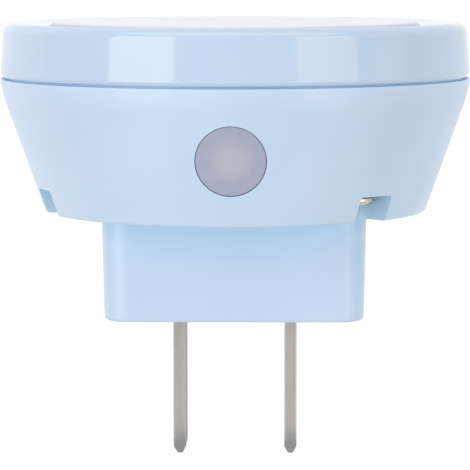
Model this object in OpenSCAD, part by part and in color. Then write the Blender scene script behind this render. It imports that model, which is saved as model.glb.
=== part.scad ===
// Plug-in night light with a dusk sensor.
// A round bowl carries the lit face, and the plug block on its back pushes into a two-blade outlet.
// Pieces are drawn with the wall plane at z = 0 and the lit face towards +z. hang() then turns each
// one to the way it sits on a wall: face towards -Y, blades towards +Y, sensor window on top.

/* [Plug block] */
// Width of the block at the wall
block_w = 29.2; // [28:0.1:32]
// Height of the block at the wall
block_d = 21.1; // [20:0.1:23]
// Distance from the wall to the back of the bowl
block_h = 11.8; // [11:0.1:15]
// Radius of the block's four long corners
block_corner_r = 3; // [2.4:0.1:3.6]
// Lean of the block's sides, in degrees
block_draft = 1.2; // [0.5:0.1:2]
// Rounding of the edge around the wall face
block_edge_r = 0.5; // [0.2:0.1:0.8]
// Thickness of the block's side walls
block_wall = 1.8; // [1.5:0.1:2]
// Thickness of the wall that the blades pass through
block_end_t = 2; // [1.6:0.1:2.4]

/* [Bowl] */
// Diameter of the bowl at its back
bowl_base_d = 43.5; // [43:0.1:46]
// Height of the bowl from its back to its rim
bowl_h = 15.1; // [14.8:0.05:18]
// Lean of the bowl's side, in degrees
bowl_angle = 19.6; // [18:0.1:21]
// Thickness of the bowl's side
bowl_wall = 1.6; // [1.4:0.1:1.8]
// Thickness of the bowl's floor
floor_t = 1.8; // [1.5:0.1:2]
// Rounding between the floor and the side
floor_edge_r = 0.4; // [0.2:0.1:0.8]
// Radius of the curve that turns the side up into the rim
rim_round = 11; // [9:0.5:13]
// Lean that is left at the rim, in degrees
rim_lean = 5; // [3:0.5:7]
// Thickness of the rim around the bezel's skirt
rim_wall = 1.05; // [1:0.05:1.15]
// Depth of the recess that the bezel's skirt drops into
rim_recess = 1.1; // [1:0.1:1.3]
// Rounding of the rim's outer edge
rim_edge_r = 0.12; // [0.08:0.02:0.3]

/* [Bezel] */
// Height of the bezel from its lower edge to its crest
bezel_h = 6; // [5.6:0.05:7]
// How much narrower the bezel is at its shoulder, on the radius
bezel_taper = 0.3; // [0:0.05:0.5]
// Radius of the bezel's shoulder
shoulder_r = 1.2; // [0.8:0.1:1.4]
// Height of the chamfer on the bezel's lower edge
bezel_chamfer_h = 0.35; // [0.2:0.05:0.5]
// Depth of the chamfer on the bezel's lower edge
bezel_chamfer_d = 0.2; // [0.1:0.05:0.3]
// Height of the seam's groove between the bezel and the bowl
seam_gap = 0.3; // [0.15:0.05:0.4]
// Depth of the seam's groove, in to the upstand that the bezel sits on
seam_depth = 0.7; // [0.5:0.05:0.75]
// Drop of the bezel's face from its crest to the lens
face_dish = 0.32; // [0.1:0.02:0.4]
// Thickness of the bezel's face at the lens
face_t = 1.58; // [1.4:0.02:1.8]
// Thickness of the bezel's outer wall
bezel_wall = 1.9; // [1.7:0.1:2.1]
// Thickness of the skirt that reaches into the bowl
skirt_t = 0.9; // [0.8:0.05:1]
// How far the skirt reaches below the seam
skirt_reach = 1.2; // [0.9:0.05:1.2]

/* [Lens] */
// Diameter of the lit face
lens_d = 41.8; // [40.6:0.1:43]
// Height of the lit face above the bezel around it
lens_proud = 0.44; // [0.2:0.02:0.8]
// Thickness of the lens
lens_t = 1.7; // [1.4:0.1:2]
// Rounding of the lens's front edge
lens_edge_r = 0.25; // [0.1:0.05:0.4]
// Thickness of the lens's flange
lens_flange_t = 1.1; // [0.9:0.1:1.3]
// Width of the lens's wall inside its flange
lens_wall = 1.3; // [1.1:0.1:1.6]

/* [Case screws] */
// Direction of the left case screw, in degrees from the side
screw_left_turn = 20; // [18:0.5:23]
// Direction of the right case screw, in degrees
screw_right_turn = 134; // [131:0.5:136]
// Direction of the lower case screw, in degrees
screw_low_turn = 257; // [254:0.5:260]
// Width of each screw notch
notch_w = 4.8; // [4.8:0.1:5.2]
// Depth of each screw notch from the back of the bowl
notch_h = 2.9; // [2.8:0.05:3.2]
// Rounding of the notch's inner corners
notch_r = 0.3; // [0.2:0.1:0.5]
// Thickness of the plate that each screw head pulls on
notch_plate_t = 1.6; // [1.4:0.1:1.8]
// Wall around each notch inside the bowl
notch_wall = 1.4; // [1.2:0.1:1.6]
// Diameter of the case screw's shank
case_screw_d = 2.6; // [2.4:0.1:2.7]
// Length of the case screw's shank
case_screw_l = 12; // [9:0.5:12.5]
// Diameter of the case screw's head
case_head_d = 4.6; // [4.2:0.1:4.6]
// Height of the case screw's head
case_head_h = 1.25; // [1:0.05:1.5]
// Wall of the post around each case screw
post_wall = 0.95; // [0.85:0.05:1.05]
// Thickness of the web that joins each post to the skirt
web_t = 2.4; // [2:0.1:2.8]

/* [Sensor] */
// Height of the sensor's middle above the back of the bowl
sensor_rise = 7.3; // [7.1:0.1:8]
// Diameter of the sensor's hole
sensor_hole_d = 7.7; // [7.2:0.1:8]
// Gap around the sensor window
window_gap = 0.05; // [0.04:0.01:0.12]
// How far the window's face lies below the bowl's surface
window_sink = 0.08; // [0.04:0.02:0.2]
// Diameter of the window's flange
window_flange_d = 9.5; // [9:0.1:9.9]
// Thickness of the window's flange
window_flange_t = 0.8; // [0.6:0.1:1]
// Wall around the window's seat
seat_wall = 0.8; // [0.7:0.1:0.9]
// Least thickness of the bowl in front of the flange
seat_skin = 1; // [0.8:0.1:1.2]
// Length of the light shield behind the window
shield_l = 5.3; // [4.8:0.1:5.8]
// How far the light shield sits in the bowl's seat
shield_seat = 1.8; // [1.4:0.1:2.2]
// How far the photocell sits inside the light shield
cell_inset = 0.6; // [0.3:0.1:1]
// Diameter of the photocell
cell_d = 5.1; // [4.6:0.1:5.4]
// Thickness of the photocell
cell_t = 2; // [1.6:0.1:2.4]
// Diameter of the photocell's leads
cell_lead_d = 0.5; // [0.4:0.05:0.6]
// Distance between the photocell's leads
cell_lead_pitch = 3.4; // [3:0.1:3.8]
// Radius of the bend in each lead
cell_lead_bend = 1; // [0.8:0.1:1.2]

/* [Blades] */
// Distance between the middles of the two blades
blade_pitch = 12.7; // [12.5:0.05:12.9]
// Width of a blade
blade_w = 6.35; // [6.2:0.05:6.5]
// Thickness of a blade
blade_t = 1.4; // [1.3:0.05:1.55]
// Length of a blade in front of the wall face
blade_l = 16.45; // [15.9:0.05:18.2]
// Length of the bevel at a blade's tip
tip_l = 1.1; // [0.4:0.1:1.4]
// Thickness that is left at a blade's tip
tip_t = 0.45; // [0.4:0.05:0.8]
// Rounding of each corner of a blade's tip
tip_corner_r = 2.6; // [1.4:0.1:2.8]
// Width of a blade's shoulders inside the block
shoulder_w = 9; // [8.4:0.1:9.6]
// Height of a blade's shoulders
shoulder_h = 2.4; // [2:0.1:2.8]
// Width of a blade's solder tab
tab_w = 4; // [3.4:0.1:4.6]
// Length of a blade's solder tab
tab_l = 5.1; // [4.4:0.1:5.6]
// Diameter of the hole in the solder tab
tab_hole_d = 1.5; // [1.2:0.1:1.8]
// Gap around a blade in its slot
blade_gap = 0.05; // [0.03:0.01:0.1]

/* [Blade clamp] */
// Width of the clamp that holds the blades
clamp_w = 20; // [18:0.5:22]
// Height of the clamp, across the blades
clamp_d = 15.6; // [15:0.1:16.4]
// Thickness of the clamp
clamp_t = 2; // [1.6:0.1:2.4]
// Distance between the clamp's screws
clamp_screw_pitch = 11.2; // [10.6:0.1:11.6]
// Diameter of the bosses that the clamp's screws go into
clamp_boss_d = 4.2; // [4:0.1:4.5]

/* [Board] */
// Thickness of the circuit board
board_t = 1.2; // [1:0.1:1.6]
// Depth of the board's back below the bowl's rim
board_drop = 1.7; // [1.4:0.1:1.7]
// Gap between the board and the bezel's skirt
board_edge_gap = 3.7; // [3.4:0.1:4.2]
// Distance from the middle to each board post
board_post_ring_r = 13.1; // [13:0.1:13.4]
// Diameter of a board post
board_post_d = 4.2; // [4:0.1:4.4]
// Diameter of the small screws' shanks
small_screw_d = 2; // [1.8:0.1:2.2]
// Diameter of the small screws' heads
small_head_d = 3.6; // [3.4:0.1:3.8]
// Height of the small screws' heads
small_head_h = 1.2; // [1:0.1:1.4]
// Length of the small screws' shanks
small_screw_l = 5; // [4.4:0.1:5.2]
// Thickness of the reflector
reflector_t = 0.6; // [0.5:0.05:0.8]
// Width of the reflector's lip under the lens
reflector_lip = 0.9; // [0.7:0.1:1.1]
// Radius of the reflector's flat floor
reflector_floor_r = 16.2; // [15.8:0.1:16.6]
// Number of light emitters
led_count = 6; // [4:1:6]
// Distance from the middle to each light emitter
led_ring_r = 7.4; // [6:0.1:7.6]
// Length of a light emitter
led_l = 3.5; // [3:0.1:3.6]
// Width of a light emitter
led_w = 2.8; // [2.4:0.1:3]
// Height of a light emitter
led_h = 0.8; // [0.6:0.1:1]

/* [Driver parts] */
// Length of the film capacitor
film_cap_l = 13; // [12:0.5:13.5]
// Width of the film capacitor
film_cap_w = 6; // [5:0.1:6.4]
// Height of the film capacitor
film_cap_h = 11; // [9:0.5:12]
// Diameter of the electrolytic capacitor
can_d = 8; // [6.3:0.1:8.2]
// Height of the electrolytic capacitor
can_h = 11.5; // [9:0.5:12]
// Length of the bridge rectifier
bridge_l = 4.7; // [4.2:0.1:5]
// Width of the bridge rectifier
bridge_w = 3.9; // [3.5:0.1:4.2]
// Height of the bridge rectifier
bridge_h = 2.5; // [2:0.1:2.8]
// Diameter of the fusible resistor
fuse_d = 3.2; // [2.8:0.1:3.4]
// Length of the fusible resistor's body
fuse_l = 7.6; // [7:0.1:8]
// Number of chip resistors
chip_count = 4; // [2:1:4]
// Length of a chip resistor
chip_l = 3.2; // [2.8:0.1:3.4]
// Width of a chip resistor
chip_w = 1.6; // [1.2:0.1:1.8]
// Length of the transistor
transistor_l = 2.9; // [2.6:0.1:3.1]
// Diameter of the insulated wires
wire_d = 1.6; // [1.4:0.1:1.8]

/* [Fits] */
// Radial clearance of a screw in its own thread
thread_gap = 0.05; // [0.03:0.01:0.1]
// Radial clearance of a screw in a plain hole
hole_gap = 0.2; // [0.1:0.05:0.3]
// Gap between the bezel's skirt and the rim's recess
skirt_gap = 0.1; // [0.06:0.02:0.16]
// Gap between each case screw's post and the bowl's side
post_gap = 0.15; // [0.1:0.05:0.3]
// Gap around the lens and its flange
lens_gap = 0.2; // [0.1:0.05:0.3]
// Gap around pieces that drop over or beside each other
loose_gap = 0.35; // [0.25:0.05:0.45]

/* [Hidden] */
$fn = 96;
over = 0.5;
curve_steps = 8;

blue = [0.76, 0.86, 0.95];
frosted = [0.94, 0.94, 0.96];
nickel = [0.74, 0.73, 0.71];

// Heights above the wall plane
floor_z = block_h;
floor_top_z = floor_z + floor_t;
rim_z = floor_z + bowl_h;
recess_z = rim_z - rim_recess;
bezel_z = rim_z + seam_gap;
crest_z = bezel_z + bezel_h;
face_z = crest_z - face_dish;
face_under_z = face_z - face_t;
lens_z = face_z + lens_proud;
flange_under_z = face_under_z - lens_flange_t;
skirt_end_z = bezel_z - skirt_reach;
notch_top_z = floor_z + notch_h;
post_seat_z = notch_top_z + notch_plate_t;
post_top_z = flange_under_z - loose_gap;
sensor_z = floor_z + sensor_rise;
board_z = rim_z - board_drop;
board_front_z = board_z + board_t;
clamp_z = block_end_t + shoulder_h;
clamp_top_z = clamp_z + clamp_t;
tab_top_z = clamp_z + tab_l;

// Radii
base_r = bowl_base_d / 2;
rim_arc_z = rim_z + rim_round * sin(rim_lean);
rim_arc_r = base_r + ((rim_arc_z - floor_z) * sin(bowl_angle) - rim_round) / cos(bowl_angle);
rim_r = rim_arc_r + rim_round * cos(rim_lean);
recess_r = rim_r - rim_wall;
skirt_r = recess_r - skirt_gap;
skirt_in_r = skirt_r - skirt_t;
bezel_top_r = rim_r - bezel_taper;
bezel_in_r = rim_r - bezel_wall;
lens_r = lens_d / 2;
lens_in_r = lens_r - lens_wall;
flange_r = bezel_in_r - lens_gap;
case_pilot_r = case_screw_d / 2 + thread_gap;
small_pilot_r = small_screw_d / 2 + thread_gap;
post_r = case_pilot_r + post_wall;
screw_ring_r = cone_r(post_seat_z) - bowl_wall / cos(bowl_angle) - post_gap - post_r;
notch_reach = cone_r(post_seat_z) - screw_ring_r + over;
board_r = skirt_in_r - board_edge_gap;
screw_angles = [screw_left_turn, screw_right_turn, screw_low_turn];
board_post_angles = [60, 120, 270];

// The sensor's stack, measured outwards from the middle
window_flange_r = window_flange_d / 2;
seat_y = cone_r(sensor_z - window_flange_r) - seat_skin;
flange_back_y = seat_y - window_flange_t;
seat_back_y = flange_back_y - shield_seat;
shield_back_y = flange_back_y - shield_l;
cell_y = shield_back_y + cell_inset;
lead_y = shield_back_y - cell_lead_bend - loose_gap;

// Places of the driver parts on the back of the board, from its middle
film_cap_at = [0, -6.4];
can_at = [-9, 4.2];
bridge_at = [6.6, 3.4];
fuse_at = [0, 7.9];
chips_at = [12, -1.8];
chip_step = 2.6;
transistor_at = [-2.2, 3];
left_wire_at = [-14, -6];
right_wire_at = [13.2, 5];
chip_h = 0.6;
transistor_w = 1.3;
transistor_h = 1;

// Radius of the bowl's outside at height z
function cone_r(z) = base_r + (z - floor_z) * tan(bowl_angle);

// Points of an arc from angle a to angle b
function arc(centre, r, a, b) = [for (i = [0:curve_steps])
    let (t = a + (b - a) * i / curve_steps) centre + r * [cos(t), sin(t)]];

// An edge moved out by x, and its mirror image on the other side
function both_sides(edge, x) = concat([for (p = edge) [x + p[0], p[1]]],
    [for (i = [len(edge) - 1:-1:0]) [-x - edge[i][0], edge[i][1]]]);

function unit(v) = v / norm(v);

// A curve that leaves a and reaches b along z
function route(a, b, pull, t) = let (c = a + [0, 0, pull], d = b - [0, 0, pull])
    pow(1 - t, 3) * a + 3 * pow(1 - t, 2) * t * c + 3 * (1 - t) * t * t * d + pow(t, 3) * b;
function heading(a, b, pull, t) = let (c = a + [0, 0, pull], d = b - [0, 0, pull])
    unit(pow(1 - t, 2) * (c - a) + 2 * (1 - t) * t * (d - c) + t * t * (b - d));

// Turns a piece from its drawing position to the way it hangs on a wall
module hang() {
    rotate([90, 0, 0]) children();
}

// Repeats a piece at each case screw, with +x pointing outwards
module at_case_screws() {
    for (a = screw_angles) rotate([0, 0, a]) translate([screw_ring_r, 0, 0]) children();
}

module at_board_posts() {
    for (a = board_post_angles) rotate([0, 0, a]) translate([board_post_ring_r, 0, 0]) children();
}

module at_clamp_screws() {
    for (s = [-1, 1]) translate([0, s * clamp_screw_pitch / 2, 0]) children();
}

// A round bar across the lamp at the sensor's height, from y = from to y = to
module sensor_bar(d, from, to) {
    translate([0, from, sensor_z]) rotate([-90, 0, 0]) cylinder(h = to - from, d = d);
}

// A pan-head screw with its head's seat at z = 0, its shank along +z and a cross slot
module screw(shank_d, shank_l, head_d, head_h) {
    slot_w = 0.7;
    slot_depth = head_h * 0.55;
    difference() {
        union() {
            cylinder(h = shank_l, d = shank_d);
            rotate_extrude() polygon(concat([[0, 0]],
                [[head_d / 2, 0], [head_d / 2, -head_h * 0.5], [head_d / 2 - head_h * 0.2, -head_h * 0.85],
                [head_d / 2 - head_h * 0.5, -head_h], [0, -head_h]]));
        }
        for (a = [0, 90]) rotate([0, 0, a]) translate([-head_d * 0.3, -slot_w / 2, -head_h - over])
            cube([head_d * 0.6, slot_w, slot_depth + over]);
    }
}

// A wire with eight sides that runs from a to b
module wire(a, b, pull) {
    sides = 8;
    rings = 10;
    points = [for (i = [0:rings]) let (t = i / rings, p = route(a, b, pull, t),
        u = unit(cross(heading(a, b, pull, t), [0, 1, 0])), v = cross(heading(a, b, pull, t), u))
        for (k = [0:sides - 1]) p + wire_d / 2 * (u * cos(360 * k / sides) + v * sin(360 * k / sides))];
    skin = [for (i = [0:rings - 1], k = [0:sides - 1])
        let (n = (k + 1) % sides, low = i * sides, high = low + sides)
        each [[low + k, high + k, high + n], [low + k, high + n, low + n]]];
    ends = [[for (k = [0:sides - 1]) k], [for (k = [sides - 1:-1:0]) rings * sides + k]];
    polyhedron(points = points, faces = concat(skin, ends));
}

// The block's outside, or its inside with the given wall, from z = low to z = high
module block_form(wall, low, high, edge) {
    r = block_corner_r - wall;
    grow = tan(block_draft);
    x = block_w / 2 - block_corner_r;
    y = block_d / 2 - block_corner_r;
    foot = edge > 0 ? arc([r - edge, low + edge], edge, -90, 0) : [[r + low * grow, low]];
    side = concat(foot, [[r + high * grow, high]]);
    for (i = [-1, 1], j = [-1, 1]) translate([i * x, j * y, 0])
        rotate_extrude() polygon(concat([[0, low]], side, [[0, high]]));
    translate([-x, 0, 0]) rotate([90, 0, 90]) linear_extrude(2 * x) polygon(both_sides(side, y));
    translate([0, y, 0]) rotate([90, 0, 0]) linear_extrude(2 * y) polygon(both_sides(side, x));
}

// The bowl's outside as a solid
module bowl_form() {
    corner_r = base_r - floor_edge_r * (1 - sin(bowl_angle)) / cos(bowl_angle);
    rotate_extrude() polygon(concat([[0, floor_z]],
        arc([corner_r, floor_z + floor_edge_r], floor_edge_r, -90, -bowl_angle),
        arc([rim_arc_r, rim_arc_z], rim_round, -bowl_angle, -rim_lean - 2),
        arc([rim_r - rim_edge_r, rim_z - rim_edge_r], rim_edge_r, 0, 90),
        [[rim_r - seam_depth, rim_z], [rim_r - seam_depth, bezel_z], [0, bezel_z]]));
}

// The hollow of the bowl
module bowl_hollow() {
    skin = bowl_wall / cos(bowl_angle);
    rotate_extrude() polygon([[0, floor_top_z], [cone_r(floor_top_z) - skin, floor_top_z],
        [cone_r(recess_z) - skin, recess_z], [recess_r, recess_z], [recess_r, bezel_z + over],
        [0, bezel_z + over]]);
}

// The notch under a case screw, open to the wall and to the bowl's side
module notch_form() {
    wide = notch_w / 2;
    low = floor_z - over;
    translate([0, 0, low]) cylinder(h = notch_top_z - low, d = notch_w);
    rotate([90, 0, 90]) linear_extrude(notch_reach) {
        translate([-wide, low]) square([notch_w, notch_top_z - notch_r - low]);
        translate([-wide + notch_r, low]) square([notch_w - 2 * notch_r, notch_top_z - low]);
        for (s = [-1, 1]) translate([s * (wide - notch_r), notch_top_z - notch_r]) circle(notch_r);
    }
}

// What stands inside the bowl: notch roofs, board posts and the window's seat
module bowl_inner_forms() {
    roof_r = notch_w / 2 + notch_wall;
    surround_r = window_flange_r + seat_wall;
    at_case_screws() {
        translate([0, 0, floor_z]) cylinder(h = post_seat_z - floor_z, r = roof_r);
        translate([0, -roof_r, floor_z]) cube([notch_reach, 2 * roof_r, post_seat_z - floor_z]);
    }
    at_board_posts() translate([0, 0, floor_z]) cylinder(h = board_z - floor_z, d = board_post_d);
    sensor_bar(2 * surround_r, seat_back_y, rim_r);
}

module rear_housing() {
    color(blue) hang() difference() {
        union() {
            difference() {
                bowl_form();
                difference() {
                    bowl_hollow();
                    bowl_inner_forms();
                }
            }
            block_form(0, 0, floor_z + floor_t / 2, block_edge_r);
        }
        difference() {
            block_form(block_wall, block_end_t, floor_top_z + over, 0);
            at_clamp_screws() cylinder(h = clamp_z, d = clamp_boss_d);
        }
        at_case_screws() {
            notch_form();
            translate([0, 0, notch_top_z - over])
                cylinder(h = notch_plate_t + 2 * over, r = case_screw_d / 2 + hole_gap);
        }
        at_board_posts() translate([0, 0, board_z - small_screw_l])
            cylinder(h = small_screw_l + over, r = small_pilot_r);
        at_clamp_screws() translate([0, 0, clamp_top_z - small_screw_l - loose_gap])
            cylinder(h = small_screw_l, r = small_pilot_r);
        sensor_bar(sensor_hole_d, seat_y - over, rim_r + over);
        sensor_bar(window_flange_d + 2 * window_gap, seat_back_y - over, seat_y);
        for (s = [-1, 1]) blade_slot(s, blade_w, block_end_t);
    }
}

// The slot for a blade or its tab, from below the wall plane up to z = high
module blade_slot(side, wide, high, low = 0, gap = blade_gap) {
    translate([side * blade_pitch / 2 - blade_t / 2 - gap, -wide / 2 - gap, low - over])
        cube([blade_t + 2 * gap, wide + 2 * gap, high - low + 2 * over]);
}

module front_bezel() {
    shelf_z = bezel_z + skirt_t;
    web_end = skirt_in_r + skirt_t / 2 - screw_ring_r;
    color(blue) hang() difference() {
        union() {
            rotate_extrude() polygon(concat(
                [[lens_r + lens_gap, face_under_z], [lens_r + lens_gap, face_z]],
                arc([bezel_top_r - shoulder_r, crest_z - shoulder_r], shoulder_r, 90, 0),
                [[rim_r, bezel_z + bezel_chamfer_h], [rim_r - bezel_chamfer_d, bezel_z],
                [skirt_r, bezel_z], [skirt_r, skirt_end_z], [skirt_in_r, skirt_end_z],
                [skirt_in_r, shelf_z], [bezel_in_r, shelf_z], [bezel_in_r, face_under_z]]));
            at_case_screws() {
                translate([0, 0, post_seat_z]) cylinder(h = post_top_z - post_seat_z, r = post_r);
                translate([0, -web_t / 2, skirt_end_z]) cube([web_end, web_t, post_top_z - skirt_end_z]);
            }
        }
        at_case_screws() translate([0, 0, post_seat_z - over])
            cylinder(h = case_screw_l - notch_plate_t + 2 * over, r = case_pilot_r);
    }
}

module lens() {
    color(frosted) hang() rotate_extrude() polygon(concat([[0, lens_z]],
        arc([lens_r - lens_edge_r, lens_z - lens_edge_r], lens_edge_r, 90, 0),
        [[lens_r, face_under_z], [flange_r, face_under_z], [flange_r, flange_under_z],
        [lens_in_r, flange_under_z], [lens_in_r, lens_z - lens_t], [0, lens_z - lens_t]]));
}

module sensor_window() {
    low = sensor_z - window_flange_d;
    high = sensor_z + window_flange_d;
    color([0.72, 0.74, 0.82]) hang() {
        intersection() {
            sensor_bar(sensor_hole_d - 2 * window_gap, flange_back_y, rim_r);
            translate([0, 0, low]) cylinder(h = high - low, r1 = cone_r(low) - window_sink,
                r2 = cone_r(high) - window_sink);
        }
        sensor_bar(window_flange_d, flange_back_y, seat_y);
    }
}

module light_shield() {
    color("dimgray") hang() difference() {
        sensor_bar(window_flange_d, shield_back_y, flange_back_y);
        sensor_bar(cell_d + 2 * window_gap, shield_back_y - over, flange_back_y + over);
    }
}

module photocell() {
    color("peru") hang() sensor_bar(cell_d, cell_y, cell_y + cell_t);
}

// The two leads run back out of the photocell and up to the board
module photocell_leads() {
    bend_y = lead_y + cell_lead_bend;
    bend_z = sensor_z + cell_lead_bend;
    color(nickel) hang() for (s = [-1, 1]) translate([s * cell_lead_pitch / 2, 0, 0]) {
        translate([0, bend_y, sensor_z]) rotate([-90, 0, 0]) cylinder(h = cell_y - bend_y, d = cell_lead_d);
        translate([0, bend_y, bend_z]) rotate([90, 0, -90]) rotate([0, 0, -90])
            rotate_extrude(angle = 90) translate([cell_lead_bend, 0]) circle(d = cell_lead_d);
        translate([0, lead_y, bend_z]) cylinder(h = board_z - bend_z, d = cell_lead_d);
    }
}

// A blade with its tip below the wall plane, its shoulders inside the block and its solder tab
module blade(side) {
    tip_x = blade_w / 2 - tip_corner_r;
    tip_z = tip_corner_r - blade_l;
    edge = concat(arc([-tip_x, tip_z], tip_corner_r, 180, 270), arc([tip_x, tip_z], tip_corner_r, 270, 360),
        [[blade_w / 2, block_end_t], [shoulder_w / 2, block_end_t], [shoulder_w / 2, clamp_z],
        [tab_w / 2, clamp_z], [tab_w / 2, tab_top_z], [-tab_w / 2, tab_top_z], [-tab_w / 2, clamp_z],
        [-shoulder_w / 2, clamp_z], [-shoulder_w / 2, block_end_t], [-blade_w / 2, block_end_t]]);
    side_view = [[-tip_t / 2, -blade_l], [tip_t / 2, -blade_l], [blade_t / 2, -blade_l + tip_l],
        [blade_t / 2, tab_top_z], [-blade_t / 2, tab_top_z], [-blade_t / 2, -blade_l + tip_l]];
    color(nickel) hang() translate([side * blade_pitch / 2, 0, 0]) difference() {
        intersection() {
            translate([-blade_t / 2, 0, 0]) rotate([90, 0, 90]) linear_extrude(blade_t) polygon(edge);
            translate([0, shoulder_w / 2, 0]) rotate([90, 0, 0])
                linear_extrude(shoulder_w) polygon(side_view);
        }
        translate([-blade_t / 2 - over, 0, (clamp_top_z + tab_top_z) / 2]) rotate([0, 90, 0])
            cylinder(h = blade_t + 2 * over, d = tab_hole_d);
    }
}

module left_blade() {
    blade(-1);
}

module right_blade() {
    blade(1);
}

module blade_clamp() {
    color("whitesmoke") hang() difference() {
        translate([-clamp_w / 2, -clamp_d / 2, clamp_z]) cube([clamp_w, clamp_d, clamp_t]);
        for (s = [-1, 1]) blade_slot(s, tab_w, clamp_top_z, clamp_z, hole_gap);
        at_clamp_screws() translate([0, 0, clamp_z - over])
            cylinder(h = clamp_t + 2 * over, r = small_screw_d / 2 + hole_gap);
    }
}

module clamp_screws() {
    color("silver") hang() at_clamp_screws() translate([0, 0, clamp_top_z]) mirror([0, 0, 1])
        screw(small_screw_d, small_screw_l, small_head_d, small_head_h);
}

module case_screws() {
    color(nickel) hang() at_case_screws() translate([0, 0, notch_top_z])
        screw(case_screw_d, case_screw_l, case_head_d, case_head_h);
}

module circuit_board() {
    color("seagreen") hang() difference() {
        translate([0, 0, board_z]) cylinder(h = board_t, r = board_r);
        at_case_screws() translate([0, 0, board_z - over]) {
            cylinder(h = board_t + 2 * over, r = post_r + loose_gap);
            translate([0, -web_t / 2 - loose_gap, 0])
                cube([board_r, web_t + 2 * loose_gap, board_t + 2 * over]);
        }
        at_board_posts() translate([0, 0, board_z - over])
            cylinder(h = board_t + 2 * over, r = small_screw_d / 2 + hole_gap);
    }
}

module board_screws() {
    color("silver") hang() at_board_posts() translate([0, 0, board_front_z]) mirror([0, 0, 1])
        screw(small_screw_d, small_screw_l, small_head_d, small_head_h);
}

// Repeats a piece at each light emitter
module at_emitters() {
    for (i = [0:led_count - 1]) rotate([0, 0, 360 * i / led_count])
        translate([led_ring_r, 0, board_front_z]) children();
}

module light_emitters() {
    color("khaki") hang() at_emitters() translate([-led_w / 2, -led_l / 2, 0]) cube([led_w, led_l, led_h]);
}

// A white dish on the board, with holes for the emitters, the small screws and the bezel's posts
module reflector() {
    window_r = norm([led_w, led_l]) / 2 + loose_gap;
    color("white") hang() difference() {
        rotate_extrude() polygon([[0, board_front_z], [reflector_floor_r + reflector_t, board_front_z],
            [lens_in_r + reflector_lip, flange_under_z], [lens_in_r, flange_under_z],
            [reflector_floor_r, board_front_z + reflector_t], [0, board_front_z + reflector_t]]);
        at_emitters() translate([0, 0, -over]) cylinder(h = reflector_t + 2 * over, r = window_r);
        at_board_posts() translate([0, 0, board_front_z - over])
            cylinder(h = small_head_h + 2 * over, r = small_head_d / 2 + loose_gap);
        at_case_screws() translate([0, 0, board_front_z - over])
            cylinder(h = post_top_z - board_front_z + 2 * over, r = post_r + loose_gap);
    }
}

// Draws a part on the back of the board, with its height h measured down from the board
module under_board(place, h) {
    translate([place[0], place[1], board_z - h]) children();
}

module film_capacitor() {
    r = film_cap_w / 10;
    color("goldenrod") hang() under_board(film_cap_at, film_cap_h) linear_extrude(film_cap_h) {
        square([film_cap_l - 2 * r, film_cap_w], center = true);
        square([film_cap_l, film_cap_w - 2 * r], center = true);
        for (i = [-1, 1], j = [-1, 1])
            translate([i * (film_cap_l / 2 - r), j * (film_cap_w / 2 - r)]) circle(r);
    }
}

module electrolytic_capacitor() {
    groove_w = can_d / 10;
    groove_z = can_h - can_d / 4;
    color("midnightblue") hang() under_board(can_at, can_h) {
        cylinder(h = groove_z, d = can_d);
        cylinder(h = can_h, d = can_d - groove_w);
        translate([0, 0, groove_z + groove_w]) cylinder(h = can_h - groove_z - groove_w, d = can_d);
    }
}

module bridge_rectifier() {
    color([0.15, 0.15, 0.16]) hang() under_board(bridge_at, bridge_h)
        translate([-bridge_l / 2, -bridge_w / 2, 0]) cube([bridge_l, bridge_w, bridge_h]);
}

// A resistor that lies under the board on its two bent leads
module fusible_resistor() {
    lead_d = 0.22 * fuse_d;
    lead_reach = 1.2;
    lead_x = fuse_l / 2 + lead_reach;
    drop = fuse_d / 2 + loose_gap;
    color("darkkhaki") hang() under_board(fuse_at, drop) {
        translate([-fuse_l / 2, 0, 0]) rotate([0, 90, 0]) cylinder(h = fuse_l, d = fuse_d);
        for (s = [-1, 1]) {
            translate([s > 0 ? fuse_l / 2 : -lead_x, 0, 0]) rotate([0, 90, 0])
                cylinder(h = lead_x - fuse_l / 2, d = lead_d);
            translate([s * lead_x, 0, -lead_d / 2]) cylinder(h = drop + lead_d / 2, d = lead_d);
        }
    }
}

module chip_resistors() {
    color([0.12, 0.12, 0.13]) hang() for (i = [0:chip_count - 1])
        under_board(chips_at - [0, i * chip_step], chip_h)
        translate([-chip_l / 2, -chip_w / 2, 0]) cube([chip_l, chip_w, chip_h]);
}

module transistor() {
    color([0.12, 0.12, 0.13]) hang() under_board(transistor_at, transistor_h)
        translate([-transistor_l / 2, -transistor_w / 2, 0]) cube([transistor_l, transistor_w, transistor_h]);
}

module left_wire() {
    end = [left_wire_at[0], left_wire_at[1], board_z];
    color("black") hang() wire([-blade_pitch / 2, 0, tab_top_z], end, 7);
}

module right_wire() {
    end = [right_wire_at[0], right_wire_at[1], board_z];
    color("firebrick") hang() wire([blade_pitch / 2, 0, tab_top_z], end, 7);
}

rear_housing();
front_bezel();
lens();
sensor_window();
light_shield();
photocell();
photocell_leads();
left_blade();
right_blade();
blade_clamp();
clamp_screws();
case_screws();
circuit_board();
board_screws();
light_emitters();
reflector();
film_capacitor();
electrolytic_capacitor();
bridge_rectifier();
fusible_resistor();
chip_resistors();
transistor();
left_wire();
right_wire();
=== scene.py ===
import bmesh
import bpy
import math
from mathutils import Matrix, Vector


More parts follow.
